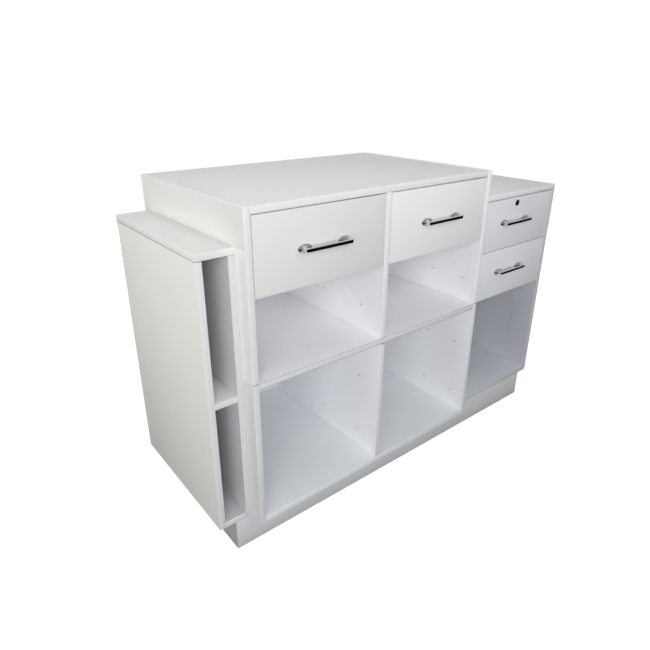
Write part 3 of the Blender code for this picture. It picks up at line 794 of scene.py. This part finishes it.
bow = bow_handle()
handle_screw = pan_head(HANDLE_SCREW_RADIUS, HANDLE_SCREW_HEAD)
for drawer in fronts:
    low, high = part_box(drawer + "_front")
    node = drawer + "_handle"
    grip_low, grip_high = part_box(node)
    x, z = (grip_low.x + grip_high.x) / 2, (grip_low.z + grip_high.z) / 2
    settle(set_copy(bow, (x, low.y, z)), node + "_bow", drawer, "chrome", node)
    heads = [drive(handle_screw, (x + side * HANDLE_CENTRES / 2, high.y, z), (0, 1, 0)) for side in (-1, 1)]
    settle(join_pieces(heads[0], heads[1:]), drawer + "_handle_screws", drawer, "zinc_steel")
bpy.data.objects.remove(bow)
bpy.data.objects.remove(handle_screw)


# Cam lock: a chrome housing through the upper drawer's front, a plug that the key turns, and a
# cam on the plug's tail that swings up into the slot in the slab. A nut holds the cam.
LOCK_BORE_PLAY = 0.0003
FLANGE_RADIUS = 0.0115
FLANGE_EDGE = 0.0009
FLANGE_STEPS = 3
BARREL_RADIUS = 0.0085
BARREL_TAIL = 0.004
PLUG_RADIUS = 0.0062
PLUG_PLAY = 0.0002
PLUG_EDGE = 0.0005
KEYWAY = (0.0018, 0.0030, 0.0080)
CAM_CORNER_SHARE = 0.42
CAM_CORNER_STEPS = 6
NUT_RADIUS = 0.006
NUT_THICKNESS = 0.003
NUT_EDGE = 0.0005
NUT_SIDES = 6
LOCK_SIDES = 48
WEAR_SIZE = 1 / 600

# The plug is steel with a black finish, slightly worn to grey in specks of about 2 mm.
black_steel = blank_material("black_finished_steel")
black_place = add(black_steel, "ShaderNodeTexCoord").outputs["Object"]
worn_black = add(black_steel, "ShaderNodeTexNoise",
                 {"Vector": black_place, "Scale": 1 / WEAR_SIZE, "Detail": 3.0})
black_tint = add(black_steel, "ShaderNodeValToRGB", {"Fac": worn_black.outputs["Fac"]})
black_tint.color_ramp.elements[0].color = linear("17171a")
black_tint.color_ramp.elements[1].color = linear("34343a")
black_shader = add(black_steel, "ShaderNodeBsdfPrincipled",
                   {"Base Color": black_tint.outputs["Color"], "Metallic": 0.6, "Roughness": 0.32})
add(black_steel, "ShaderNodeOutputMaterial", {"Surface": black_shader.outputs["BSDF"]})


def rod_along_y(axis, y_from, y_to, radius, sides):
    """A round rod about the lock's axis, between two places along Y."""
    middle = (axis[0], (y_from + y_to) / 2, axis[1])
    bpy.ops.object.select_all(action="DESELECT")
    bpy.ops.mesh.primitive_cylinder_add(vertices=sides, radius=radius, depth=y_to - y_from,
                                        location=middle, rotation=(pi / 2, 0, 0))
    bpy.ops.object.transform_apply(location=True, rotation=True, scale=True)
    return bpy.context.object


def pick_end(made, way):
    """Goes into edit mode with only the furthest flat end of a rod selected, towards -Y (-1) or +Y (1)."""
    bpy.ops.object.mode_set(mode="OBJECT")
    towards = (0, way, 0)
    furthest = max(p.center.y * way for p in made.data.polygons if looks_to(p, towards))
    pick_faces(made, lambda p: looks_to(p, towards) and p.center.y * way > furthest - TOUCHING)


low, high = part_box("upper_drawer_front")
plug_low, plug_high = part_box("lock_plug")
axis = ((low.x + high.x) / 2, (plug_low.z + plug_high.z) / 2)
flange_front = plug_low.y
drawer_face = low.y
tail = high.y + BARREL_TAIL
bore = PLUG_RADIUS + PLUG_PLAY
lock_bore = rod_along_y(axis, drawer_face - CUTTER_PAST, high.y + CUTTER_PAST,
                        BARREL_RADIUS + LOCK_BORE_PLAY, LOCK_SIDES)
cut_away(fronts["upper_drawer"], lock_bore, raw_chipboard)
for drawer, made in fronts.items():
    node = drawer + "_front"
    settle(made, node + "_board", drawer, "white_melamine", node)

housing = rod_along_y(axis, flange_front, drawer_face, FLANGE_RADIUS, LOCK_SIDES)
pick_end(housing, -1)
bpy.ops.mesh.bevel(offset=FLANGE_EDGE, segments=FLANGE_STEPS, affect="EDGES")
pick_end(housing, -1)
bpy.ops.mesh.inset(thickness=FLANGE_RADIUS - FLANGE_EDGE - bore)
pick_end(housing, 1)
bpy.ops.mesh.inset(thickness=FLANGE_RADIUS - BARREL_RADIUS)
bpy.ops.mesh.extrude_region_move(TRANSFORM_OT_translate={"value": (0, tail - drawer_face, 0)})
bpy.ops.mesh.inset(thickness=BARREL_RADIUS - bore)
pick_faces(housing, lambda polygon: len(polygon.vertices) > CAP_SIDES)
bpy.ops.mesh.bridge_edge_loops()
bpy.ops.object.mode_set(mode="OBJECT")
housing.data.materials.append(chrome)
settle(housing, "lock_housing_barrel", "upper_drawer", "chrome", "lock_housing")

cam_front = tail + PLUG_PLAY
cam_back = cam_front + CAM_THICKNESS
plug = rod_along_y(axis, flange_front, cam_front, PLUG_RADIUS, LOCK_SIDES)
pick_end(plug, -1)
bpy.ops.mesh.bevel(offset=PLUG_EDGE, segments=ROUNDING_STEPS, affect="EDGES")
bpy.ops.object.mode_set(mode="OBJECT")
plug.data.materials.append(black_steel)
keyhole = Vector((axis[0], flange_front, axis[1]))
half_key = Vector((KEYWAY[0] / 2, KEYWAY[1], KEYWAY[2] / 2))
cut_away(plug, block(keyhole - half_key, keyhole + half_key), black_steel)
cam = block(Vector((axis[0] - CAM_WIDTH / 2, cam_front, axis[1] - CAM_WIDTH / 2)),
            Vector((axis[0] + CAM_LENGTH, cam_back, axis[1] + CAM_WIDTH / 2)))
pick_edges(cam, lambda a, b: abs(a.y - b.y) > CAM_THICKNESS / 2)
bpy.ops.mesh.bevel(offset=CAM_WIDTH * CAM_CORNER_SHARE, segments=CAM_CORNER_STEPS, affect="EDGES")
bpy.ops.object.mode_set(mode="OBJECT")
cam.data.materials.append(zinc_steel)
nut = rod_along_y(axis, cam_back, cam_back + NUT_THICKNESS, NUT_RADIUS, NUT_SIDES)
round_edges(NUT_EDGE, ROUNDING_STEPS)
nut.data.materials.append(zinc_steel)
settle(join_pieces(plug, [cam, nut]), "lock_plug_and_cam", "lock", "lock_plug", "lock_plug")


# Studio: a plain white floor that shows only a faint shadow, and soft light from all round.
# The floor throws little light back, as a dull shop floor does, so the chrome stays dark below.
FLOOR_SIZE = 14.0
FLOOR_GLOW = 0.94
FLOOR_SHADED, FLOOR_THROWN, FLOOR_MIRRORED = 0.25, 0.12, 0.008
SKY_THROWN, SKY_MIRRORED, SKY_SEEN = 0.18, 0.35, 1.1
WINDOW_SPREAD = 0.9
WINDOW_STRENGTH = 2.29
LIGHT_BOUNCES = 12
WHITE, WARM, COOL, ROSY = (1, 1, 1), (1.02, 1.0, 0.96), (0.99, 1.0, 1.016), (1.03, 1.0, 0.98)

bpy.ops.object.select_all(action="DESELECT")
bpy.ops.mesh.primitive_plane_add(size=FLOOR_SIZE, location=(0, 0, 0))
floor = bpy.context.object
floor.name = "studio_floor"
floor_paint = blank_material("white_studio_floor")
floor_rays = add(floor_paint, "ShaderNodeLightPath").outputs
glow = add(floor_paint, "ShaderNodeEmission", {"Color": (*WHITE, 1), "Strength": FLOOR_GLOW})
shaded, thrown, dark = (add(floor_paint, "ShaderNodeBsdfDiffuse", {"Color": (grey, grey, grey, 1)})
                        for grey in (FLOOR_SHADED, FLOOR_THROWN, FLOOR_MIRRORED))
lit = add(floor_paint, "ShaderNodeAddShader", {0: glow.outputs[0], 1: shaded.outputs[0]})
bounced = add(floor_paint, "ShaderNodeMixShader",
              {0: floor_rays["Is Glossy Ray"], 1: thrown.outputs[0], 2: dark.outputs[0]})
either = add(floor_paint, "ShaderNodeMixShader",
             {0: floor_rays["Is Camera Ray"], 1: bounced.outputs[0], 2: lit.outputs[0]})
add(floor_paint, "ShaderNodeOutputMaterial", {"Surface": either.outputs[0]})
floor.data.materials.append(floor_paint)

world = bpy.data.worlds.new("soft_studio")
bpy.context.scene.world = world
world.use_nodes = True
world.node_tree.nodes.clear()
sky_rays = add(world, "ShaderNodeLightPath").outputs
around, room, backdrop = (add(world, "ShaderNodeBackground", {"Color": (*WHITE, 1), "Strength": strength})
                          for strength in (SKY_THROWN, SKY_MIRRORED, SKY_SEEN))
unseen = add(world, "ShaderNodeMixShader",
             {0: sky_rays["Is Glossy Ray"], 1: around.outputs[0], 2: room.outputs[0]})
sky = add(world, "ShaderNodeMixShader",
          {0: sky_rays["Is Camera Ray"], 1: unseen.outputs[0], 2: backdrop.outputs[0]})
add(world, "ShaderNodeOutputWorld", {"Surface": sky.outputs[0]})


def hang_light(name, kind, place, aim, power, colour):
    """A light at a place, aimed at a point, that no mirror and no camera sees."""
    lamp = bpy.data.lights.new(name, kind)
    lamp.energy = power
    lamp.color = colour
    stand = bpy.data.objects.new(name, lamp)
    bpy.context.scene.collection.objects.link(stand)
    stand.location = place
    stand.rotation_euler = (Vector(aim) - Vector(place)).to_track_quat("-Z", "Y").to_euler()
    stand.visible_glossy = False
    stand.visible_camera = False
    return lamp


window = hang_light("window_light", "SUN", (-2.8, -3.6, 1.0), (0, 0, 0.5), WINDOW_STRENGTH, WHITE)
window.angle = WINDOW_SPREAD

# Square soft boxes all round, and two small ones under the main drawers: place, aim, size, watts.
for name, place, aim, size, power, colour in (
        ("key_light", (-2.8, -3.6, 1.8), (0, 0, 0.5), 2.2, 19, WHITE),
        ("high_light", (-0.3, -2.4, 2.2), (-0.1, 0, 0.6), 1.4, 8.4, COOL),
        ("left_light", (-1.8, 0.9, 1.05), (-0.7, 0.1, 0.8), 0.8, 6.7, WARM),
        ("side_light", (-3.0, -0.6, 1.2), (-0.5, 0, 0.7), 1.2, 6.3, WARM),
        ("top_light", (-0.25, 0.2, 3.0), (-0.1, 0, 0.5), 2.5, 26, WHITE),
        ("right_light", (3.4, 1.2, 0.8), (0.5, 0.1, 0.5), 1.8, 50, WHITE),
        ("back_light", (0.4, 3.6, 0.9), (0, 0, 0.6), 2.2, 70, WHITE),
        ("fill_light", (-0.50, 0.13, 0.765), (-0.50, 0.09, 0.55), 0.26, 0.09, ROSY),
        ("fill_light", (-0.06, -0.02, 0.765), (-0.06, -0.06, 0.55), 0.26, 0.075, ROSY)):
    soft_box = hang_light(name, "AREA", place, aim, power, colour)
    soft_box.shape = "SQUARE"
    soft_box.size = size
bpy.context.scene.view_settings.view_transform = "Standard"
bpy.context.scene.cycles.diffuse_bounces = LIGHT_BOUNCES


# Camera: stands beside the wing at a little over the worktop's height, looking down along the front.
# Its place, turn and lens were solved from the photograph's straight edges, for a 650 pixel frame.
PICTURE = 650
FOCAL_PIXELS = 536.55
OPTICAL_CENTRE = (326.75, 312.4)
SENSOR_WIDTH = 36.0
CAMERA_PLACE = (-1.2251, -1.3027, 1.2493)
YAW = radians(38.719)
PITCH = radians(23.146)
ROLL = radians(-0.196)

lens = bpy.data.cameras.new("counter_camera")
lens.sensor_width = SENSOR_WIDTH
lens.lens = FOCAL_PIXELS / PICTURE * SENSOR_WIDTH
lens.shift_x = (PICTURE / 2 - OPTICAL_CENTRE[0]) / PICTURE
lens.shift_y = (OPTICAL_CENTRE[1] - PICTURE / 2) / PICTURE
camera = bpy.data.objects.new("counter_camera", lens)
bpy.context.scene.collection.objects.link(camera)
forward = Vector((sin(YAW) * cos(PITCH), cos(YAW) * cos(PITCH), -sin(PITCH)))
level = Vector((cos(YAW), -sin(YAW), 0))
below = forward.cross(level)
across = level * cos(ROLL) + below * sin(ROLL)
upward = level * sin(ROLL) - below * cos(ROLL)
stance = Matrix((across, upward, -forward)).transposed().to_4x4()
camera.matrix_world = Matrix.Translation(CAMERA_PLACE) @ stance
bpy.context.scene.camera = camera
